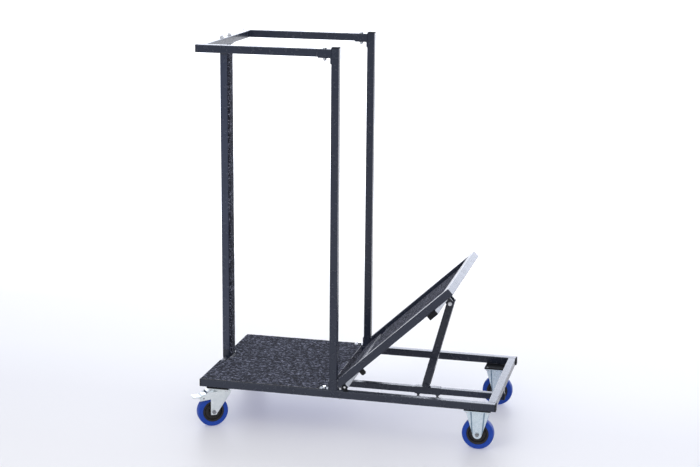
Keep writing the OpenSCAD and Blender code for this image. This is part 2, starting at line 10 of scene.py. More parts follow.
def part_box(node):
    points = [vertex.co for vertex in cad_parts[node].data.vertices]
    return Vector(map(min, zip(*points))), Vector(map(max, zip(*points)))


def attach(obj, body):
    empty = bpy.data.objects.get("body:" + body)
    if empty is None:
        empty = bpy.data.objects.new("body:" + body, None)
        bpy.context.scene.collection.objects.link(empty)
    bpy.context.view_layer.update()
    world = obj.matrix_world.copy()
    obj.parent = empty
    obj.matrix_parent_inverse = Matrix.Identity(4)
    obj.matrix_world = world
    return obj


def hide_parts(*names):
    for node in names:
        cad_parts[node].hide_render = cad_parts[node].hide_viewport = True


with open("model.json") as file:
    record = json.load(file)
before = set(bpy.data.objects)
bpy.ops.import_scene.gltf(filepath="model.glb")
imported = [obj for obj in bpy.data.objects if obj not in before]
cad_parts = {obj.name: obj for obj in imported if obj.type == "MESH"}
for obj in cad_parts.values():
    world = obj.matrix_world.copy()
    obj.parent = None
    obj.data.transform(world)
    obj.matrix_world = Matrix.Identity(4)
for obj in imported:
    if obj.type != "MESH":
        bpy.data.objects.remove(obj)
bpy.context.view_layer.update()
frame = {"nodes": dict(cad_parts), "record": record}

NODES = frame["nodes"]

# Millimetre coordinates used below: X from the base's deck end, Y from its near face, Z from the floor.
RAIL_LO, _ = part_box("side_rail_near")
OX, OY = -RAIL_LO.x * 1000.0, -RAIL_LO.y * 1000.0


def mm(x, y, z):
    return ((x - OX) / 1000.0, (y - OY) / 1000.0, z / 1000.0)


BASE_L, BASE_W = 1178.0, 628.0

# ------------------------------------------------------------------ materials


def new_mat(name):
    m = bpy.data.materials.new(name)
    m.use_nodes = True
    nt = m.node_tree
    return m, nt, nt.nodes["Principled BSDF"] if "Principled BSDF" in nt.nodes else nt.nodes.new("ShaderNodeBsdfPrincipled")


def node(nt, kind, **props):
    n = nt.nodes.new(kind)
    for k, v in props.items():
        if k.startswith("in_"):
            n.inputs[k[3:].replace("_", " ")].default_value = v
        else:
            setattr(n, k, v)
    return n


def coords(nt, scale=(1.0, 1.0, 1.0)):
    tc = node(nt, "ShaderNodeTexCoord")
    mp = node(nt, "ShaderNodeMapping")
    mp.inputs["Scale"].default_value = scale
    nt.links.new(tc.outputs["Object"], mp.inputs["Vector"])
    return mp.outputs["Vector"]


def noise(nt, vec, scale, detail=3.0, rough=0.55):
    n = node(nt, "ShaderNodeTexNoise")
    n.inputs["Scale"].default_value = scale
    n.inputs["Detail"].default_value = detail
    n.inputs["Roughness"].default_value = rough
    nt.links.new(vec, n.inputs["Vector"])
    return n.outputs["Fac"]


def voronoi(nt, vec, scale, feature="F1"):
    n = node(nt, "ShaderNodeTexVoronoi", feature=feature)
    n.inputs["Scale"].default_value = scale
    nt.links.new(vec, n.inputs["Vector"])
    return n


def ramp(nt, fac, stops, interp="LINEAR"):
    r = node(nt, "ShaderNodeValToRGB")
    r.color_ramp.interpolation = interp
    e = r.color_ramp.elements
    while len(e) < len(stops):
        e.new(0.5)
    for el, (pos, col) in zip(e, stops):
        el.position = pos
        el.color = (*col, 1.0) if len(col) == 3 else col
    nt.links.new(fac, r.inputs["Fac"])
    return r.outputs["Color"]


def remap(nt, fac, lo, hi, f0=0.0, f1=1.0):
    n = node(nt, "ShaderNodeMapRange")
    n.inputs["From Min"].default_value = f0
    n.inputs["From Max"].default_value = f1
    n.inputs["To Min"].default_value = lo
    n.inputs["To Max"].default_value = hi
    nt.links.new(fac, n.inputs["Value"])
    return n.outputs["Result"]


def mix(nt, fac, a, b, kind="MIX"):
    n = node(nt, "ShaderNodeMix", data_type="RGBA", blend_type=kind)
    ia, ib = n.inputs[6], n.inputs[7]
    if hasattr(fac, "is_linked"):
        nt.links.new(fac, n.inputs[0])
    else:
        n.inputs[0].default_value = fac
    for sock, v in ((ia, a), (ib, b)):
        if hasattr(v, "is_linked"):
            nt.links.new(v, sock)
        else:
            sock.default_value = (*v, 1.0)
    return n.outputs[2]


def bump(nt, height, strength, distance, normal=None):
    n = node(nt, "ShaderNodeBump")
    n.inputs["Strength"].default_value = strength
    n.inputs["Distance"].default_value = distance
    nt.links.new(height, n.inputs["Height"])
    if normal is not None:
        nt.links.new(normal, n.inputs["Normal"])
    return n.outputs["Normal"]


def up_mask(nt, lo=0.6, hi=0.95):
    g = node(nt, "ShaderNodeNewGeometry")
    s = node(nt, "ShaderNodeSeparateXYZ")
    nt.links.new(g.outputs["Normal"], s.inputs["Vector"])
    return remap(nt, s.outputs["Z"], 0.0, 1.0, lo, hi)


def powder_coat(name, k):
    """Satin slate powder coat: fine orange peel, soft tone drift, a trace of dust on faces that look up."""
    m, nt, b = new_mat(name)
    v = coords(nt)
    tone = mix(nt, remap(nt, noise(nt, v, 9.0, 3.0), 0.0, 1.0, 0.35, 0.65), (0.0155 * k, 0.0200 * k, 0.0350 * k), (0.0210 * k, 0.0265 * k, 0.0450 * k))
    grain = mix(nt, remap(nt, noise(nt, v, 900.0, 2.0), 0.0, 1.0, 0.3, 0.7), (0.0125 * k, 0.0158 * k, 0.0290 * k), (0.0240 * k, 0.0305 * k, 0.0500 * k))
    col = mix(nt, 0.45, tone, grain)
    dust = node(nt, "ShaderNodeMath", operation="MULTIPLY")
    nt.links.new(up_mask(nt), dust.inputs[0])
    nt.links.new(remap(nt, noise(nt, v, 60.0, 5.0, 0.7), 0.0, 0.25, 0.45, 0.75), dust.inputs[1])
    col = mix(nt, dust.outputs[0], col, (0.075, 0.078, 0.088))
    nt.links.new(col, b.inputs["Base Color"])
    nt.links.new(remap(nt, noise(nt, v, 45.0, 4.0), 0.20, 0.30, 0.3, 0.7), b.inputs["Roughness"])
    b.inputs["IOR"].default_value = 1.48
    nrm = bump(nt, noise(nt, v, 1100.0, 2.0, 0.5), 0.035, 0.0004)
    nrm = bump(nt, noise(nt, v, 240.0, 2.0, 0.5), 0.015, 0.0008, nrm)
    nt.links.new(nrm, b.inputs["Normal"])
    return m


def carpet():
    """Needle-felt carpet: dark pile with lighter flecks, tufts in the bump and a soft sheen."""
    m, nt, b = new_mat("carpet_charcoal")
    v = coords(nt)
    w = coords(nt, (0.5, 1.0, 1.0))
    big = noise(nt, v, 26.0, 4.0, 0.6)
    fl = voronoi(nt, w, 270.0)
    fl2 = voronoi(nt, v, 430.0)
    sep = node(nt, "ShaderNodeSeparateColor")
    nt.links.new(fl.outputs["Color"], sep.inputs["Color"])
    sep2 = node(nt, "ShaderNodeSeparateColor")
    nt.links.new(fl2.outputs["Color"], sep2.inputs["Color"])
    dark = ramp(nt, sep.outputs["Red"], [(0.0, (0.002, 0.0022, 0.004)), (0.46, (0.007, 0.0076, 0.0125)), (0.70, (0.034, 0.0365, 0.056)), (0.88, (0.165, 0.172, 0.235)), (1.0, (0.40, 0.415, 0.52))])
    fine = ramp(nt, sep2.outputs["Green"], [(0.0, (0.003, 0.0033, 0.006)), (0.62, (0.011, 0.0118, 0.019)), (0.86, (0.062, 0.066, 0.094)), (1.0, (0.22, 0.23, 0.295))])
    col = mix(nt, 0.36, dark, fine)
    col = mix(nt, remap(nt, big, 0.0, 0.35, 0.45, 0.7), col, (0.006, 0.0065, 0.0105))
    nt.links.new(col, b.inputs["Base Color"])
    b.inputs["Roughness"].default_value = 0.95
    b.inputs["Specular IOR Level"].default_value = 0.10
    b.inputs["Sheen Weight"].default_value = 0.06
    b.inputs["Sheen Roughness"].default_value = 0.45
    nrm = bump(nt, fl2.outputs["Distance"], 0.7, 0.0015)
    nrm = bump(nt, noise(nt, v, 1500.0, 3.0, 0.7), 0.5, 0.0008, nrm)
    nt.links.new(nrm, b.inputs["Normal"])
    return m


def backing(name, k):
    """Cut edge of the carpet: jute backing with dark pile ends between."""
    m, nt, b = new_mat(name)
    v = coords(nt)
    f = noise(nt, v, 420.0, 3.0, 0.6)
    stops = [(0.0, (0.06, 0.06, 0.066)), (0.42, (0.22, 0.22, 0.235)), (0.6, (0.56, 0.56, 0.60)), (1.0, (0.74, 0.74, 0.78))]
    nt.links.new(ramp(nt, f, [(pos, tuple(k * c for c in col)) for pos, col in stops]), b.inputs["Base Color"])
    b.inputs["Roughness"].default_value = 0.85
    nt.links.new(bump(nt, noise(nt, v, 1600.0, 3.0), 0.6, 0.0006), b.inputs["Normal"])
    return m


def zinc(name, lo, hi, drift, rough):
    """Passivated zinc: faint spangle, cool tint that drifts, uneven gloss."""
    m, nt, b = new_mat(name)
    v = coords(nt)
    sp = voronoi(nt, v, 140.0, "SMOOTH_F1")
    s = node(nt, "ShaderNodeSeparateColor")
    nt.links.new(sp.outputs["Color"], s.inputs["Color"])
    col = mix(nt, remap(nt, s.outputs["Red"], 0.0, 1.0), lo, hi)
    col = mix(nt, remap(nt, noise(nt, v, 30.0, 3.0), 0.0, 0.5, 0.5, 0.75), col, drift)
    nt.links.new(col, b.inputs["Base Color"])
    b.inputs["Metallic"].default_value = 0.92
    nt.links.new(remap(nt, noise(nt, v, 95.0, 4.0), rough - 0.07, rough + 0.07, 0.3, 0.7), b.inputs["Roughness"])
    nt.links.new(bump(nt, noise(nt, v, 700.0, 2.0), 0.08, 0.0003), b.inputs["Normal"])
    return m


def bright_steel(name, lo, hi):
    m, nt, b = new_mat(name)
    v = coords(nt)
    col = mix(nt, remap(nt, noise(nt, v, 160.0, 3.0), 0.0, 1.0, 0.35, 0.65), lo, hi)
    nt.links.new(col, b.inputs["Base Color"])
    b.inputs["Metallic"].default_value = 1.0
    nt.links.new(remap(nt, noise(nt, v, 300.0, 3.0), 0.20, 0.36, 0.3, 0.7), b.inputs["Roughness"])
    nt.links.new(bump(nt, noise(nt, v, 1200.0, 2.0), 0.08, 0.0003), b.inputs["Normal"])
    return m


def moulded(name, a, c, rough, grain=900.0, strength=0.12, spec=0.5):
    """Moulded plastic, rubber or thick black paint: two close tones, fine grain and uneven gloss."""
    m, nt, b = new_mat(name)
    v = coords(nt)
    nt.links.new(mix(nt, remap(nt, noise(nt, v, 70.0, 4.0), 0.0, 1.0, 0.3, 0.7), a, c), b.inputs["Base Color"])
    nt.links.new(remap(nt, noise(nt, v, 130.0, 3.0), rough - 0.07, rough + 0.07, 0.3, 0.7), b.inputs["Roughness"])
    b.inputs["Specular IOR Level"].default_value = spec
    nt.links.new(bump(nt, noise(nt, v, grain, 2.0), strength, 0.0004), b.inputs["Normal"])
    return m


PAINT = powder_coat("powder_coat_slate", 1.0)
# Lighter copy of the slate paint (tone times 1.75) for the back post alone: painted light, standing in for the brighter
# light on its front face.
PAINT_BACK_POST_PAINTED_LIGHT = powder_coat("powder_coat_slate_back_post_painted_light", 1.75)
CARPET = carpet()
EDGE_AND_FOLD_HIGHLIGHT = backing("carpet_cut_edge", 1.0)
# Pale jute backing for cut carpet edges; on the fold at the deck's open edge the same material is a painted highlight
# along the crest.
EDGE_DULL = backing("carpet_cut_edge_dull", 0.36)
ZINC = zinc("zinc_passivated", (0.66, 0.77, 0.83), (0.79, 0.88, 0.93), (0.55, 0.67, 0.75), 0.30)
# Dark copy of the zinc for the forks' bend lines: painted shade along the rolled shoulders.
ZINC_CREASE_PAINTED_SHADE = zinc("zinc_passivated_crease_painted_shade", (0.20, 0.29, 0.38), (0.32, 0.42, 0.50), (0.15, 0.23, 0.32), 0.36)
# Paler copy of the zinc for the swivel forks, top plates and pedal treads: the paleness is painted reflection, standing
# in for the brighter reflection these parts catch.
ZINC_PALE_PAINTED_REFLECTION = zinc("zinc_passivated_pale_painted_reflection", (0.80, 0.85, 0.85), (0.91, 0.95, 0.94), (0.70, 0.77, 0.79), 0.34)
STEEL = bright_steel("fastener_steel", (0.62, 0.63, 0.65), (0.83, 0.84, 0.86))
# Darker copy of the bolt steel for the axles: its darkness is painted shade on the axle heads.
AXLE_STEEL_PAINTED_SHADE = bright_steel("axle_steel_painted_shade", (0.17, 0.18, 0.19), (0.40, 0.41, 0.43))
BLACK_PLASTIC = moulded("black_plastic_caps", (0.0060, 0.0062, 0.0075), (0.0115, 0.0118, 0.0135), 0.62, spec=0.14)
BLACK_PAINT = moulded("black_paint_plates", (0.0035, 0.0040, 0.0055), (0.0075, 0.0083, 0.0105), 0.52, spec=0.16)
RUBBER = moulded("black_rubber_buffer", (0.008, 0.008, 0.008), (0.016, 0.015, 0.015), 0.62, 600.0, 0.2, 0.2)
RIM = moulded("wheel_core_nylon", (0.010, 0.0085, 0.0080), (0.022, 0.0180, 0.0160), 0.36, spec=0.4)
TYRE = moulded("tyre_blue_elastic", (0.0085, 0.050, 0.330), (0.0125, 0.064, 0.400), 0.46, 500.0, 0.10, 0.28)

SLOT_MAT = {"paint": PAINT, "carpet": CARPET, "bright_steel": STEEL, "zinc": ZINC, "black_plastic": BLACK_PLASTIC,
            "black_steel": BLACK_PAINT, "rubber": RUBBER, "tyre": TYRE}
SLOT_OF = {s["node"]: s["material_slot"] for s in frame["record"]["subparts"]}
for name, obj in NODES.items():
    mat = SLOT_MAT[SLOT_OF[name]]
    if name.startswith("rim_"):
        mat = RIM
    # Swivel forks, top plates and pedals get the paler zinc copy: its paleness is painted reflection.
    elif name.startswith(("swivel_fork", "swivel_top", "brake_pedal")):
        mat = ZINC_PALE_PAINTED_REFLECTION
    # Axles get the darker steel copy: painted shade on the axle heads.
    elif name.startswith(("swivel_axle", "fixed_axles")):
        mat = AXLE_STEEL_PAINTED_SHADE
    # The back post gets the lighter copy of the slate paint: painted light.
    elif name == "back_post":
        mat = PAINT_BACK_POST_PAINTED_LIGHT
    if not obj.material_slots:
        obj.data.materials.append(mat)
    for s in obj.material_slots:
        s.material = mat

# ------------------------------------------------------------------ mesh helpers


def add_object(name, verts, faces, mats, body, face_mats=None, smooth=True):
    me = bpy.data.meshes.new(name)
    me.from_pydata([tuple(map(float, v)) for v in verts], [], [tuple(map(int, f)) for f in faces])
    for m in mats:
        me.materials.append(m)
    if face_mats is not None:
        me.polygons.foreach_set("material_index", np.asarray(face_mats, dtype=np.int32))
    if smooth:
        me.polygons.foreach_set("use_smooth", np.ones(len(me.polygons), dtype=bool))
    me.validate()
    me.update()
    o = bpy.data.objects.new(name, me)
    bpy.context.scene.collection.objects.link(o)
    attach(o, body)
    return o


def outward(obj):
    """Makes a closed mesh's faces look outwards."""
    bm = bmesh.new()
    bm.from_mesh(obj.data)
    bmesh.ops.recalc_face_normals(bm, faces=bm.faces)
    bm.to_mesh(obj.data)
    bm.free()
    return obj


def soft_field(rng, n, m, passes):
    """A smooth random field on an n by m grid, about -1 to 1."""
    f = rng.standard_normal((n, m))
    for _ in range(passes):
        g = np.pad(f, 1, mode="edge")
        f = (g[:-2, 1:-1] + g[2:, 1:-1] + g[1:-1, :-2] + g[1:-1, 2:] + 2 * g[1:-1, 1:-1]) / 6
    return f / max(1e-9, np.abs(f).max())


def carpet_slab(name, a0, a1, b0, b1, z0, z1, step, holes, place, body, seed, pile=0.55, edge=EDGE_DULL):
    """A cut piece of carpet: tufted upper side, pale cut edges, holes where posts pass."""
    rng = np.random.default_rng(seed)
    na, nb = int(round((a1 - a0) / step)), int(round((b1 - b0) / step))
    ga, gb = np.linspace(a0, a1, na + 1), np.linspace(b0, b1, nb + 1)
    tuft = 0.75 * rng.uniform(-1, 1, (na + 1, nb + 1)) + 0.8 * soft_field(rng, na + 1, nb + 1, 3)
    wave = soft_field(rng, na + 1, nb + 1, 60)
    top = z1 + pile * tuft - pile * 0.4 + 0.25 * wave
    ca, cb = (ga[:-1] + ga[1:]) / 2, (gb[:-1] + gb[1:]) / 2
    keep = np.ones((na, nb), bool)
    for (h0, h1, k0, k1) in holes:
        keep &= ~(((ca[:, None] > h0) & (ca[:, None] < h1)) & ((cb[None, :] > k0) & (cb[None, :] < k1)))
    split = z0 + 0.55 * (z1 - z0)
    fray = rng.uniform(-0.5, 0.5, (na + 1, nb + 1, 2))
    verts, index = [], {}

    def vid(i, j, layer):
        key = (i, j, layer)
        if key not in index:
            index[key] = len(verts)
            edge = i in (0, na) or j in (0, nb)
            da, db = (fray[i, j] * (0.5 if edge else 0.15))
            z = (z0, split, top[i, j])[layer]
            verts.append(place(ga[i] + da, gb[j] + db, z))
        return index[key]

    faces, mats = [], []
    run = np.cumsum(rng.uniform(0.2, 1.0, na + nb + 4))
    for i in range(na):
        for j in range(nb):
            if not keep[i, j]:
                continue
            faces.append((vid(i, j, 2), vid(i + 1, j, 2), vid(i + 1, j + 1, 2), vid(i, j + 1, 2)))
            mats.append(0)
            faces.append((vid(i, j, 0), vid(i, j + 1, 0), vid(i + 1, j + 1, 0), vid(i + 1, j, 0)))
            mats.append(1)
            for di, dj, p, q in ((-1, 0, (i, j), (i, j + 1)), (1, 0, (i + 1, j + 1), (i + 1, j)), (0, -1, (i + 1, j), (i, j)), (0, 1, (i, j + 1), (i + 1, j + 1))):
                ni, nj = i + di, j + dj
                if 0 <= ni < na and 0 <= nj < nb and keep[ni, nj]:
                    continue
                faces.append((vid(*p, 0), vid(*p, 1), vid(*q, 1), vid(*q, 0)))
                mats.append(1)
                faces.append((vid(*p, 1), vid(*p, 2), vid(*q, 2), vid(*q, 1)))
                mats.append(0 if math.sin(run[min(i + j, len(run) - 1)]) > 0.2 else 1)
    o = add_object(name, verts, faces, [CARPET, edge], body, mats, smooth=False)
    outward(o)
    return o


def lathe(name, profile, segs, place, body, mats, pick=None):
    """Turns a closed (radius, along) outline about the local Y axis."""
    verts, faces, fm = [], [], []
    n = len(profile)
    for k in range(segs):
        t = 2 * math.pi * k / segs
        for r, y in profile:
            verts.append(place(r * math.cos(t), y, r * math.sin(t)))
    for k in range(segs):
        a, c = k * n, ((k + 1) % segs) * n
        for i in range(n):
            j = (i + 1) % n
            faces.append((a + i, a + j, c + j, c + i))
            fm.append(pick(i) if pick else 0)
    return outward(add_object(name, verts, faces, mats, body, fm))


def caster_place(x, y, yaw_deg, trail):
    """Local caster frame: x from the swivel axis to the axle side, y across the wheel, z up, in millimetres."""
    a = math.radians(yaw_deg)
    c, s = math.cos(a), math.sin(a)

    def at(lx, ly, lz):
        lx += trail
        return mm(x + lx * c - ly * s, y + lx * s + ly * c, lz)

    return at


def bead_mesh(runs, radius=2.0, seg=9, ripple=1.6):
    """Weld beads along straight runs: overlapping ripples with rounded ends."""
    verts, faces = [], []
    for (p, q, lift) in runs:
        p, q, lift = Vector(p), Vector(q), Vector(lift).normalized()
        d = (q - p)
        length = d.length
        d.normalize()
        side = d.cross(lift).normalized()
        steps = max(6, int(length / 0.7))
        start = len(verts)
        for i in range(steps + 1):
            t = i / steps
            env = min(1.0, math.sqrt(max(0.0, min(t, 1 - t)) * length / (1.6 * radius)) + 0.12)
            r = radius * env * (0.86 + 0.14 * abs(math.sin(math.pi * t * length / ripple)))
            c = p + d * (t * length)
            for k in range(seg):
                a = 2 * math.pi * k / seg
                w = c + (lift * math.sin(a) + side * math.cos(a)) * r
                verts.append(mm(*w))
        for i in range(steps):
            for k in range(seg):
                a, b = start + i * seg, start + (i + 1) * seg
                faces.append((a + k, a + (k + 1) % seg, b + (k + 1) % seg, b + k))
        faces.append(tuple(start + k for k in reversed(range(seg))))
        faces.append(tuple(start + steps * seg + k for k in range(seg)))
    return verts, faces


# ------------------------------------------------------------------ carpets and pad

deck = carpet_slab("deck_carpet_pile", 1.0, 514.0, 2.6, 625.4, 199.5, 202.3, 2.6,
                   [(-1, 33, 247, 381), (31, 41, 282, 346), (482, 560, -5, 33), (482, 560, 595, 640)],
                   mm, "base", 11)
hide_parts("deck_carpet")


def folded_edge():
    """The carpet turned down over the cross rail at the deck's open edge, from the slab's end to the flap's hem, with a
    painted highlight along the fold's crest.
    """
    rng = np.random.default_rng(23)
    path = [(514.0, 202.3)]
    for k in range(0, 7):
        t = math.pi / 2 * k / 6
        path.append((516.4 + 3.9 * math.sin(t), 198.4 + 3.9 * math.cos(t)))
    path += [(520.4, z) for z in np.arange(196.0, 155.5, -2.5)]
    inner = [(514.0, 199.6)]
    for k in range(0, 7):
        t = math.pi / 2 * k / 6
        inner.append((516.4 + 1.9 * math.sin(t), 197.7 + 1.9 * math.cos(t)))
    inner += [(518.3, z) for z in np.arange(196.0, 155.5, -2.5)]
    y0, y1 = 34.0, 594.0
    ny = 224
    ys = np.linspace(y0, y1, ny + 1)
    n = len(path)
    tuft = rng.uniform(-1, 1, (ny + 1, n)) * 0.35 + 0.3 * soft_field(rng, ny + 1, n, 2)
    verts = []
    for j, y in enumerate(ys):
        for i, (x, z) in enumerate(path):
            d = Vector((path[min(i + 1, n - 1)][0] - path[max(i - 1, 0)][0], path[min(i + 1, n - 1)][1] - path[max(i - 1, 0)][1])).normalized()
            k = float(tuft[j, i]) - 0.1
            verts.append(mm(x - d.y * k, y, z + d.x * k))
        for (x, z) in inner:
            verts.append(mm(x, y, z))
    w = 2 * n
    faces, mats = [], []
    # Pale backing on the fold's crest (path faces 2 and 3), broken up by a soft random field: a painted highlight along
    # the fold line.
    crest_highlight_field = soft_field(rng, ny, 1, 2)[:, 0]
    for j in range(ny):
        a, b = j * w, (j + 1) * w
        for i in range(n - 1):
            faces.append((a + i, a + i + 1, b + i + 1, b + i))
            mats.append(1 if i in (2, 3) and crest_highlight_field[j] > -0.35 else 0)
            faces.append((a + n + i, b + n + i, b + n + i + 1, a + n + i + 1))
            mats.append(1)
        faces.append((a, b, b + n, a + n))
        mats.append(1)
        faces.append((a + n - 1, a + 2 * n - 1, b + 2 * n - 1, b + n - 1))
        mats.append(1)
    for a in (0, ny * w):
        for i in range(n - 1):
            faces.append((a + i, a + n + i, a + n + i + 1, a + i + 1))
            mats.append(1)
    o = add_object("deck_carpet_flap", verts, faces, [CARPET, EDGE_AND_FOLD_HIGHLIGHT], "base", mats, smooth=False)
    outward(o)
    return o


folded_edge()

TRAY_A = math.radians(43.0)
TRAY_S = (-math.cos(TRAY_A), -math.sin(TRAY_A))
TRAY_N = (-math.sin(TRAY_A), math.cos(TRAY_A))
HINGE = (589.1, 215.2)
TOP = (HINGE[0] - 580.7 * TRAY_S[0] + 40.0 * TRAY_N[0], HINGE[1] - 580.7 * TRAY_S[1] + 40.0 * TRAY_N[1])


def tray_mm(s, y, p):
    """Tray coordinates: s down the slope from the top end, y across, p above the rim."""
    return mm(TOP[0] + s * TRAY_S[0] + p * TRAY_N[0], y, TOP[1] + s * TRAY_S[1] + p * TRAY_N[1])


pad = carpet_slab("tray_carpet_pile", 31.0, 504.6, 32.8, 595.2, -18.0, -14.3, 2.6, [], tray_mm, "tray", 31)
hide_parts("tray_carpet")
strip = carpet_slab("tray_carpet_strip", 541.0, 610.6, 32.8, 595.2, -18.0, -14.3, 2.6, [], tray_mm, "tray", 37, edge=EDGE_AND_FOLD_HIGHLIGHT)


def post_pad():
    """Carpeted pad strip on the back post: a crowned strip with rolled sides and closed, rounded ends."""
    rng = np.random.default_rng(41)
    lo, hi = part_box("back_pad")
    x0, x1 = lo.x * 1000 + OX, hi.x * 1000 + OX
    yc, hw = (lo.y + hi.y) / 2 * 1000 + OY, (hi.y - lo.y) / 2 * 1000
    z0, z1 = lo.z * 1000, hi.z * 1000
    nv, m = 470, 26
    half = []
    for k in range(m + 1):
        t = math.pi * k / m
        c, s = math.cos(t), math.sin(t)
        half.append((-hw * math.copysign(abs(c) ** 0.45, c), (abs(s) ** 0.55)))
    tuft = rng.uniform(-1, 1, (nv + 1, m + 1)) * 0.28 + 0.35 * soft_field(rng, nv + 1, m + 1, 3)
    slow = soft_field(rng, nv + 1, m + 1, 40)
    verts = []
    for j in range(nv + 1):
        f = j / nv
        z = z0 + (z1 - z0) * f
        e = min(f, 1 - f) * (z1 - z0)
        crown = math.sqrt(max(0.0, min(1.0, 1 - (1 - min(1.0, e / 6.0)) ** 2)))
        for i, (yy, h) in enumerate(half):
            t = (x1 - x0 - 0.9) * h * (0.25 + 0.75 * crown)
            bump_ = (tuft[j, i] + 0.5 * slow[j, i]) * (1.0 if 2 < i < m - 2 else 0.2) * crown
            verts.append(mm(x0 + 0.05 + max(0.0, t + bump_), yc + yy * (0.985 + 0.015 * crown), z))
    w = m + 1
    faces = []
    for j in range(nv):
        a, b = j * w, (j + 1) * w
        for i in range(m):
            faces.append((a + i, a + i + 1, b + i + 1, b + i))
        faces.append((a + m, a, b, b + m))
    faces.append(tuple(range(w)))
    faces.append(tuple(nv * w + k for k in reversed(range(w))))
    o = outward(add_object("back_post_pad", verts, faces, [CARPET], "base", smooth=True))
    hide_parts("back_pad")
    return o


post_pad()

# ------------------------------------------------------------------ wheels

YAW = 35.0
CASTERS = {
    "swivel_near": (70.0, 50.0, 180.0 + YAW, 38.0),
    "swivel_far": (70.0, BASE_W - 50.0, 180.0 - YAW, 38.0),
    "fixed_near": (1110.0, 50.0, 0.0, 0.0),
    "fixed_far": (1110.0, BASE_W - 50.0, 0.0, 0.0),
}

TYRE_HALF = [(43.48, 16.6), (44.2, 17.5), (45.6, 18.1), (47.4, 18.35), (49.6, 18.4), (51.2, 18.3), (52.2, 17.95), (52.9, 17.65), (53.6, 18.0), (54.6, 18.7), (56.0, 18.9),
             (57.6, 18.55), (59.2, 17.6), (60.5, 16.1), (61.4, 14.0), (62.0, 11.2), (62.35, 8.0), (62.48, 4.0), (62.5, 1.2), (62.38, 0.6), (62.3, 0.0)]
RIM_HALF = [(6.05, 21.4), (14.2, 21.4), (15.6, 21.0), (16.6, 20.0), (17.0, 18.6), (17.4, 11.4), (18.2, 10.0), (20.0, 9.2), (23.0, 8.7), (27.0, 8.4),
            (30.6, 8.5), (33.0, 9.4), (34.2, 11.4), (34.9, 14.0), (35.7, 15.6), (36.9, 16.4), (39.4, 16.5), (40.2, 15.7), (41.2, 15.7), (42.0, 16.4), (42.9, 16.3), (43.42, 15.4)]


def whole(half):
    return half + [(r, -y) for r, y in reversed(half) if y > 1e-9]


def ribs(place, count=10, r0=18.5, r1=33.8):
    """Radial stiffening ribs on both sides of a wheel core, drawn as closed wedges with a rounded back."""
    verts, faces = [], []
    for side in (-1, 1):
        for k in range(count):
            a = 2 * math.pi * (k + 0.5) / count
            c, s = math.cos(a), math.sin(a)
            rows = []
            for f in (0.0, 0.2, 0.5, 0.8, 1.0):
                r = r0 + (r1 - r0) * f
                h = 12.0 - 2.4 * math.sin(math.pi * f)
                row = []
                for w, y in ((-1.7, 7.6), (-1.5, h - 0.7), (-0.7, h), (0.7, h), (1.5, h - 0.7), (1.7, 7.6)):
                    row.append(len(verts))
                    verts.append(place(r * c - w * s, side * y, 62.5 + r * s + w * c))
                rows.append(row)
            for p, q in zip(rows, rows[1:]):
                for i in range(6):
                    j = (i + 1) % 6
                    faces.append((p[i], p[j], q[j], q[i]))
            faces.append(tuple(rows[0]))
            faces.append(tuple(reversed(rows[-1])))
    return verts, faces


for key, (cx, cy, yaw, trail) in CASTERS.items():
    at = caster_place(cx, cy, yaw, trail)
    body = "wheel_" + key
    wheel = lambda x, y, z, at=at: at(x, y, 62.5 + z)
    t = lathe("tyre_" + key + "_moulded", whole(TYRE_HALF), 144, wheel, body, [TYRE])
    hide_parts("tyre_" + key)
    r = lathe("core_" + key + "_moulded", whole(RIM_HALF), 120, wheel, body, [RIM])
    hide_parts("rim_" + key)
    v, f = ribs(at)
    rb = outward(add_object("core_ribs_" + key, v, f, [RIM], body))

# ------------------------------------------------------------------ bend lines of the fixed forks, darkened with painted shade


def tangent(px, pz, r, sign):
    """Point where the line from (px, pz) touches a circle about the axle."""
    d = math.hypot(px, pz - 62.5)
    a, b = math.atan2(pz - 62.5, px), math.acos(r / d)
    return r * math.cos(a + sign * b), 62.5 + r * math.sin(a + sign * b)


def fork_creases(key):
    """Rolled shoulders where the raised panel of a fork cheek is drawn out of the sheet, coloured with a dark zinc copy
    as painted shade along the bend lines.
    """
    cx, cy, yaw, trail = CASTERS["fixed_" + key]
    at = caster_place(cx, cy, yaw, trail)
    lo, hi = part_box("fixed_fork_" + key)
    top = hi.z * 1000.0 - 3.0
    cheek, proud = 25.0, 1.6
    qx, qz = tangent(23.5, top - 4.0, 16.8, -1)
    ex, ez = tangent(48.0, top - 4.0, 17.5, -1)
    verts, faces = [], []
    for side in (-1, 1):
        for hand in (-1, 1):
            rows = []
            n = 26
            for k in range(n + 1):
                f = k / n
                z = top - 1.0 + (qz + 3.0 - top + 1.0) * f
                g = min(1.0, max(0.0, (top - 4.0 - z) / (top - 4.0 - qz)))
                x = 23.5 + (qx - 23.5) * g
                e = min(1.0, max(0.0, (top - 4.0 - z) / (top - 4.0 - ez)))
                room = 48.0 + (ex - 48.0) * e - x
                w = max(0.4, min(5.2, room - 0.7))
                row = []
                for u, h in ((-0.4, -0.3), (-0.4, proud - 0.06), (0.10 * w, 0.86 * proud), (0.28 * w, 0.50 * proud), (0.55 * w, 0.20 * proud), (1.0 * w, 0.05), (1.0 * w, -0.3)):
                    row.append(len(verts))
                    verts.append(at(hand * (x + u), side * (cheek + h), z))
                rows.append(row)
            m = len(rows[0])
            for a, b in zip(rows, rows[1:]):
                for i in range(m):
                    j = (i + 1) % m
                    faces.append((a[i], a[j], b[j], b[i]))
            faces.append(tuple(rows[0]))
            faces.append(tuple(reversed(rows[-1])))
    o = outward(add_object("fork_bend_lines_" + key, verts, faces, [ZINC_CREASE_PAINTED_SHADE], "base"))


for k in ("near", "far"):
    fork_creases(k)

# ------------------------------------------------------------------ brake pedal treads


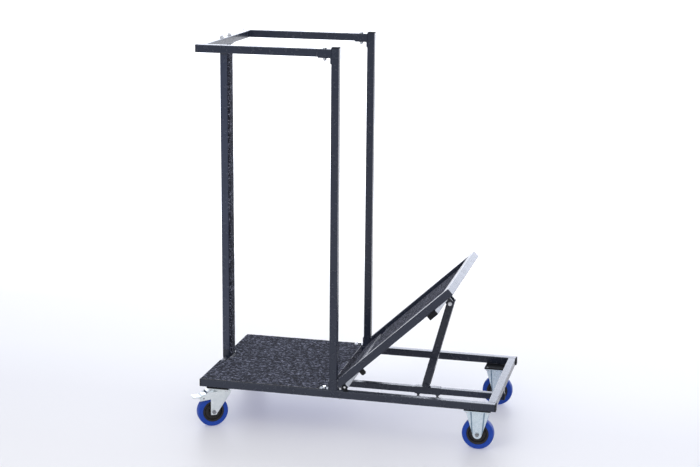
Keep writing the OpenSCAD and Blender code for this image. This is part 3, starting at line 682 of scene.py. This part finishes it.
def pedal_tread(key):
    """Ribbed tread on the foot lever: six rounded bars."""
    cx, cy, yaw, _ = CASTERS["swivel_" + key]
    at = caster_place(cx, cy, yaw, 0.0)
    verts, faces = [], []

    def bar(x, z, r, hw, flat=0.75):
        rows = []
        n = 10
        for f in np.linspace(-1, 1, 15):
            y = hw * f
            e = math.sqrt(max(0.0, 1 - max(0.0, (abs(f) - 0.86) / 0.14) ** 2))
            row = []
            for k in range(n):
                a = 2 * math.pi * k / n
                row.append(len(verts))
                verts.append(at(x + r * (0.15 + 0.85 * e) * math.cos(a), y, z + flat * r * (0.15 + 0.85 * e) * math.sin(a)))
            rows.append(row)
        for p, q in zip(rows, rows[1:]):
            for i in range(n):
                j = (i + 1) % n
                faces.append((p[i], p[j], q[j], q[i]))
        faces.append(tuple(rows[0]))
        faces.append(tuple(reversed(rows[-1])))

    for x in (95.2, 99.0, 102.8):
        bar(x, 130.5, 1.1, 16.5)
    for x, z in ((109.6, 131.2), (113.6, 130.95), (117.6, 130.65)):
        bar(x, z, 1.2, 17.5)
    o = outward(add_object("pedal_tread_" + key, verts, faces, [ZINC_PALE_PAINTED_REFLECTION], "pedal_" + key))


for k in ("near", "far"):
    pedal_tread(k)

# ------------------------------------------------------------------ weld beads

Z0, Z1 = 168.0, 198.0
runs = []
for y, s in ((30.0, 1), (598.0, -1)):
    for x0, x1 in ((0, 30), (250, 280), (488, 518), (1148, 1178)):
        for x, sx in ((x0, -1), (x1, 1)):
            if 1.0 < x < 1177.0:
                runs.append(((x, y, Z0 + 3), (x, y, Z1 - 3), (sx, s, 0)))
        runs.append(((x0 + 3, y, Z0), (x1 - 3, y, Z0), (0, s, -1)))
for y, s in ((30.0, 1), (598.0, -1)):
    for x, h in ((70.0, 42.0), (1110.0, 48.0)):
        lo = max(x - h, 33.0)
        runs.append(((lo, y, 168.0), (x - 6, y, 168.0), (0, s, 1)))
        runs.append(((x + 6, y, 168.0), (min(x + h, 1145.0), y, 168.0), (0, s, 1)))
for y, s in ((6.0, 1), (622.0, -1)):
    runs.append(((587.0, y, 198.0), (602.5, y, 198.0), (0, s, 1)))
for x, s in ((493.0, -1), (518.0, 1), (1148.0, -1), (1173.0, 1)):
    runs.append(((x, 304, 168.0), (x, 324, 168.0), (s, 0, -1)))
    runs.append(((x, 304, 139.0), (x, 324, 139.0), (s, 0, 1)))
for y in (15.0, 613.0):
    for x, s in ((487.0 + 36, -1), (557.0 + 4, 1)):
        runs.append(((527.0 if s < 0 else 557.0, y - 12, 236.0), (527.0 if s < 0 else 557.0, y + 12, 236.0), (s, 0, 1)))
    runs.append(((527.0, y - 12, 1472.0), (527.0, y + 12, 1472.0), (-1, 0, -1)))
for y, s in ((284.0, -1), (344.0, 1)):
    runs.append(((3.0, y, 236.0), (27.0, y, 236.0), (0, s, 1)))
    runs.append(((3.0, y, 1461.0), (27.0, y, 1461.0), (0, s, -1)))
for y, s in ((30.0, 1), (598.0, -1)):
    runs.append(((30.0, y, 1500.0), (30.0, y, 1524.0), (1, s, 0)))
    runs.append(((3.0, y, 1497.0), (27.0, y, 1497.0), (0, s, -1)))
v, f = bead_mesh(runs, 1.7)
beads = outward(add_object("weld_beads_frame", v, f, [PAINT], "base"))


def tray_pt(s, y, p):
    return (TOP[0] + s * TRAY_S[0] + p * TRAY_N[0], y, TOP[1] + s * TRAY_S[1] + p * TRAY_N[1])


def tray_dir(s, y, p):
    return (s * TRAY_S[0] + p * TRAY_N[0], y, s * TRAY_S[1] + p * TRAY_N[1])


runs = []
for y, s in ((32.0, 1), (596.0, -1)):
    runs.append((tray_pt(30, y, -3), tray_pt(30, y, -13), tray_dir(1, s, 0)))
for s0, s1, e in ((94.0, 134.0, 5.0), (570.7, 590.7, 9.0)):
    for y0, y1 in ((e, 29.0), (599.0, 628.0 - e)):
        for s, d in ((s0, -1), (s1, 1)):
            runs.append((tray_pt(s, y0, -30), tray_pt(s, y1, -30), tray_dir(d, 0, -1)))
for y, d in ((293.7, -1), (334.3, 1)):
    runs.append((tray_pt(110.5, y, -50), tray_pt(132.0, y, -50), tray_dir(0, d, -1)))
v, f = bead_mesh(runs, 1.6)
beads = outward(add_object("weld_beads_tray", v, f, [PAINT], "tray"))

# ------------------------------------------------------------------ edges of pressed and machined parts

for name, width in (("angle_brackets", 0.7), ("hinge_plates", 0.7), ("caster_mount_plates", 0.8), ("fixed_fork_near", 0.7), ("fixed_fork_far", 0.7),
                    ("swivel_fork_near", 0.7), ("swivel_fork_far", 0.7), ("swivel_top_plates", 0.6), ("brake_pedal_near", 0.8), ("brake_pedal_far", 0.8),
                    ("strut_lug", 0.7), ("strut_fork", 0.7), ("slider_sleeve", 0.3), ("frame_bolts", 0.45), ("caster_bolts", 0.45), ("fixed_axles", 0.5),
                    ("swivel_axle_near", 0.5), ("swivel_axle_far", 0.5), ("strut_bolt", 0.5), ("clamp_screw_left", 0.5), ("clamp_screw_right", 0.5),
                    ("tube_end_caps", 0.5), ("cross_tube_caps", 0.7), ("rubber_buffers", 0.8), ("tray_panel", 0.5), ("deck_plate", 0.3)):
    o = NODES[name]
    w = o.modifiers.new("joined", "WELD")
    w.merge_threshold = 1e-5
    b = o.modifiers.new("eased", "BEVEL")
    b.width = width / 1000.0
    b.segments = 2
    b.limit_method = "ANGLE"
    b.angle_limit = math.radians(40)
    b.use_clamp_overlap = True

# ------------------------------------------------------------------ floor, light, camera


def floor():
    n = 60
    xs = np.concatenate([np.linspace(-14, -2.5, 12), np.linspace(-2, 2, 37), np.linspace(2.5, 14, 12)])
    ys = np.concatenate([np.linspace(-9, -2.5, 12), np.linspace(-2, 2, 37), np.linspace(2.5, 40, 24)])
    verts = [(x, y, 0.0) for y in ys for x in xs]
    w = len(xs)
    faces = [(j * w + i, j * w + i + 1, (j + 1) * w + i + 1, (j + 1) * w + i) for j in range(len(ys) - 1) for i in range(w - 1)]
    me = bpy.data.meshes.new("studio_floor")
    me.from_pydata(verts, [], faces)
    m, nt, b = new_mat("studio_floor_pale")
    v = coords(nt)
    s = node(nt, "ShaderNodeSeparateXYZ")
    nt.links.new(v, s.inputs["Vector"])
    f = remap(nt, s.outputs["Y"], 0.0, 1.0, -1.0, 3.0)
    nt.links.new(mix(nt, remap(nt, noise(nt, v, 3.0, 3.0), 0.0, 0.02), (0.475, 0.458, 0.370), (0.42, 0.41, 0.35)), b.inputs["Base Color"])
    # Emission that rises from front to back: a painted glow that lifts the shadows on the floor and brightens the far
    # floor, standing in for fill light.
    floor_glow_painted_light = ramp(nt, f, [(0.10, (0.225, 0.230, 0.335)), (0.25, (0.245, 0.252, 0.360)), (0.39, (0.315, 0.325, 0.425)), (0.58, (0.375, 0.380, 0.460)), (0.83, (0.60, 0.61, 0.70)), (1.0, (0.98, 1.0, 1.12))])
    nt.links.new(floor_glow_painted_light, b.inputs["Emission Color"])
    b.inputs["Emission Strength"].default_value = 1.0
    b.inputs["Roughness"].default_value = 0.5
    b.inputs["Specular IOR Level"].default_value = 0.25
    me.materials.append(m)
    o = bpy.data.objects.new("studio_floor", me)
    bpy.context.scene.collection.objects.link(o)


floor()

world = bpy.data.worlds.new("studio")
bpy.context.scene.world = world
world.use_nodes = True
bg = world.node_tree.nodes["Background"]


def studio_sky():
    """A bright cove behind the object, a softer ceiling and a dim, cool room in front of it."""
    nt = world.node_tree
    tc = node(nt, "ShaderNodeTexCoord")
    s = node(nt, "ShaderNodeSeparateXYZ")
    nt.links.new(tc.outputs["Generated"], s.inputs["Vector"])
    back = remap(nt, s.outputs["Y"], 0.0, 3.3, 0.66, 0.96)
    top = remap(nt, s.outputs["Z"], 0.0, 0.55, 0.15, 0.75)
    add = node(nt, "ShaderNodeMath", operation="ADD")
    nt.links.new(back, add.inputs[0])
    nt.links.new(top, add.inputs[1])
    level = node(nt, "ShaderNodeMath", operation="ADD")
    nt.links.new(add.outputs[0], level.inputs[0])
    level.inputs[1].default_value = 0.46
    nt.links.new(level.outputs[0], bg.inputs["Strength"])
    nt.links.new(ramp(nt, remap(nt, s.outputs["Y"], 0.0, 1.0, -0.6, 0.6), [(0.0, (0.88, 0.92, 1.0)), (1.0, (0.88, 0.925, 1.05))]), bg.inputs["Color"])


studio_sky()


def area(name, loc, aim, size, power, col=(1.0, 1.0, 1.0)):
    d = bpy.data.lights.new(name, "AREA")
    d.shape = "RECTANGLE"
    d.size, d.size_y = size
    d.energy = power
    d.color = col
    o = bpy.data.objects.new(name, d)
    bpy.context.scene.collection.objects.link(o)
    o.location = loc
    o.rotation_mode = "QUATERNION"
    o.rotation_quaternion = (Vector(aim) - Vector(loc)).to_track_quat("-Z", "Y")
    return o


area("softbox_front", (-0.3, -2.7, 2.7), (0.0, 0.0, 0.2), (3.4, 2.0), 44.0, (1.0, 0.995, 0.98))
area("softbox_right", (3.6, -1.6, 2.2), (0.2, 0.0, 0.5), (2.0, 2.4), 5.5)

az, pitch, roll = math.radians(13.4253), math.radians(13.1529), math.radians(0.5405)
fwd = Vector((-math.sin(az) * math.cos(pitch), math.cos(az) * math.cos(pitch), -math.sin(pitch)))
right = Vector((math.cos(az), math.sin(az), 0.0))
up = right.cross(fwd)
r2 = math.cos(roll) * right + math.sin(roll) * up
u2 = -math.sin(roll) * right + math.cos(roll) * up
cam_data = bpy.data.cameras.new("photo_camera")
cam_data.sensor_fit = "HORIZONTAL"
cam_data.sensor_width = 36.0
cam_data.lens = 1536.83 * 36.0 / 700.0
cam_data.clip_end = 100.0
cam = bpy.data.objects.new("photo_camera", cam_data)
bpy.context.scene.collection.objects.link(cam)
rot = Matrix((r2, u2, -fwd)).transposed().to_4x4()
cam.matrix_world = Matrix.Translation(Vector(mm(1924.12, -5523.07, 2158.49))) @ rot
bpy.context.scene.camera = cam
bpy.context.scene.view_settings.view_transform = "Standard"

bpy.context.view_layer.update()
